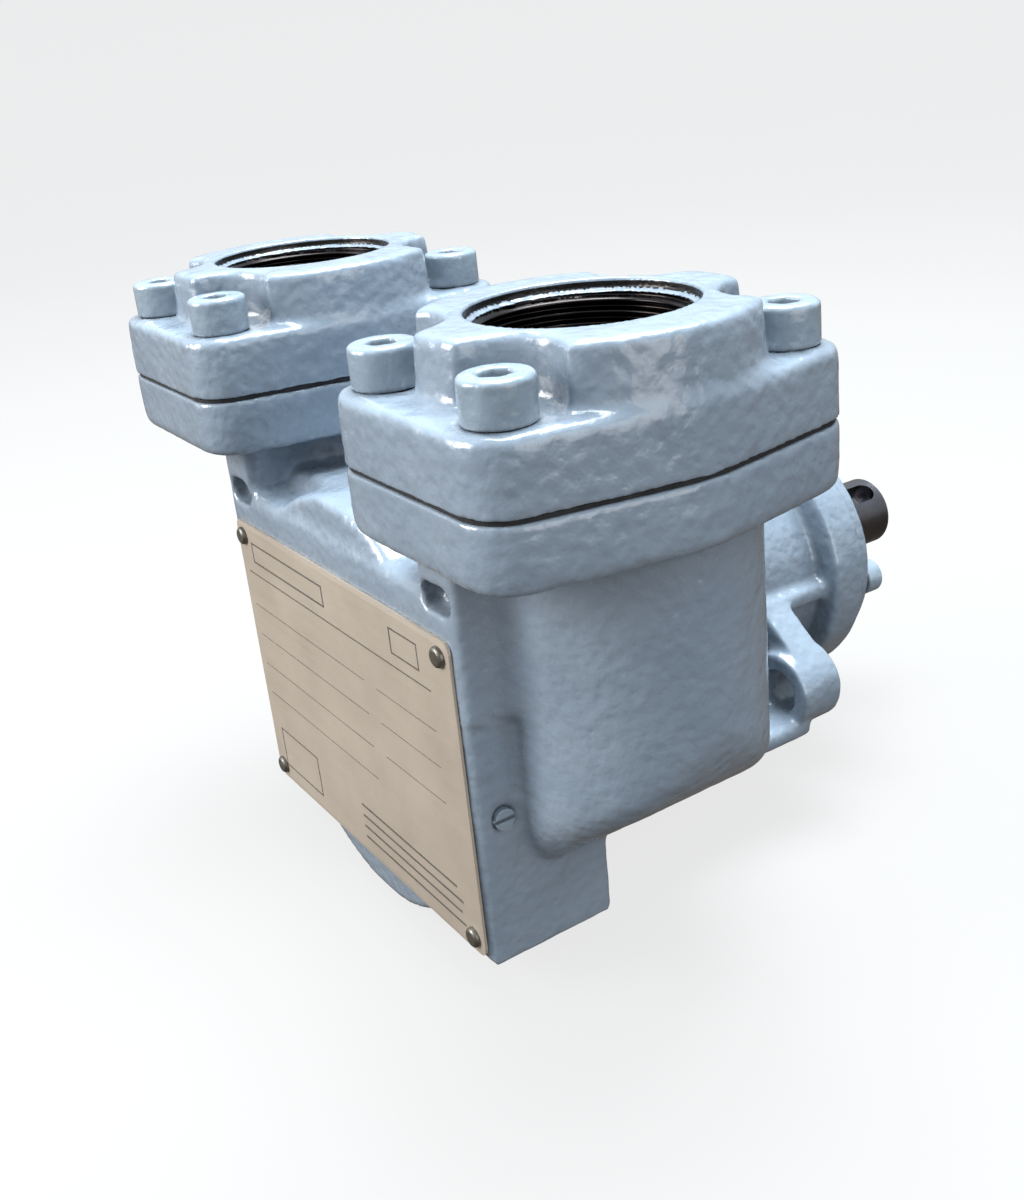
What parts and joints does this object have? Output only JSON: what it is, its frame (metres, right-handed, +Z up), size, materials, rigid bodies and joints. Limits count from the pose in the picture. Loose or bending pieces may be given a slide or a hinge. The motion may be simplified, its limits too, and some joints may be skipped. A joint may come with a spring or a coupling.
{
  "type": "internal gear pump",
  "caption": "Foot-mounted internal gear pump with two screwed port flanges on top, a flat front slab with a blank plate and a keyed shaft out of the back.",
  "frame": {"origin": "centre of the two foot bolt holes, on the plane of the foot soles", "axes": "+Z up, +Y along the shaft towards its free end, +X towards the outlet port"},
  "size_m": [0.1892, 0.181, 0.1464],
  "materials": {
    "painted_casting": "thick glossy light blue-grey paint over rough cast iron",
    "painted_screws": "the same paint over socket head screws",
    "gasket": "matt black sheet gasket",
    "nameplate": "tan brushed sheet metal with engraved lines",
    "rivets": "dull steel drive rivets",
    "gear_iron": "machined cast iron, oiled",
    "bright_steel": "machined steel",
    "bearing_steel": "ground and polished bearing steel",
    "cage_steel": "pressed sheet steel",
    "spring_steel": "phosphated spring steel",
    "shaft_steel": "dark turned steel with oil film",
    "bronze": "bearing bronze",
    "carbon": "impregnated carbon, lapped",
    "ceramic": "lapped ceramic",
    "rubber": "black nitrile rubber"
  },
  "bodies": {
    "housing": {"pump_casing": "painted_casting", "nameplate": "nameplate", "nameplate_rivets": "rivets", "inlet_flange": "painted_casting", "outlet_flange": "painted_casting", "inlet_gasket": "gasket", "outlet_gasket": "gasket", "inlet_flange_screws": "painted_screws", "outlet_flange_screws": "painted_screws", "crescent_plate": "gear_iron", "crescent_plate_screws": "bright_steel", "idler_pin": "bright_steel", "casing_o_ring": "rubber", "bearing_bracket": "painted_casting", "bracket_screws": "painted_screws", "dowel_pins": "bright_steel", "shaft_bush": "carbon", "seal_seat": "ceramic", "seal_seat_o_ring": "rubber", "bearing_outer_ring": "bearing_steel", "bearing_cover": "painted_casting", "bearing_cover_screws": "painted_screws", "shaft_lip_seal": "rubber", "side_channel_plug": "painted_screws"},
    "shaft": {"pump_shaft": "shaft_steel", "rotor": "gear_iron", "rotor_key": "bright_steel", "rotor_screw": "bright_steel", "seal_ring": "carbon", "seal_ring_o_ring": "rubber", "seal_spring": "bright_steel", "seal_collar": "bright_steel", "collar_set_screws": "bright_steel", "bearing_inner_ring": "bearing_steel", "shaft_circlip": "spring_steel"},
    "idler": {"idler_gear": "gear_iron", "idler_bush": "bronze"},
    "bearing_cage": {"bearing_balls": "bearing_steel", "bearing_cage": "cage_steel"}
  },
  "joints": [
    {"name": "shaft_spin", "type": "hinge", "parent": "housing", "child": "shaft", "pos_m": [0, 0.05, 0.0438], "axis": [0, 1, 0], "continuous": true},
    {"name": "idler_spin", "type": "hinge", "parent": "housing", "child": "idler", "pos_m": [0, 0.015, 0.0368], "axis": [0, 1, 0], "continuous": true},
    {"name": "cage_spin", "type": "hinge", "parent": "housing", "child": "bearing_cage", "pos_m": [0, 0.1035, 0.0438], "axis": [0, 1, 0], "continuous": true}
  ],
  "couplings": [
    {"joint": "idler_spin", "follows": "shaft_spin", "ratio": 1.3333},
    {"joint": "cage_spin", "follows": "shaft_spin", "ratio": 0.3818}
  ]
}
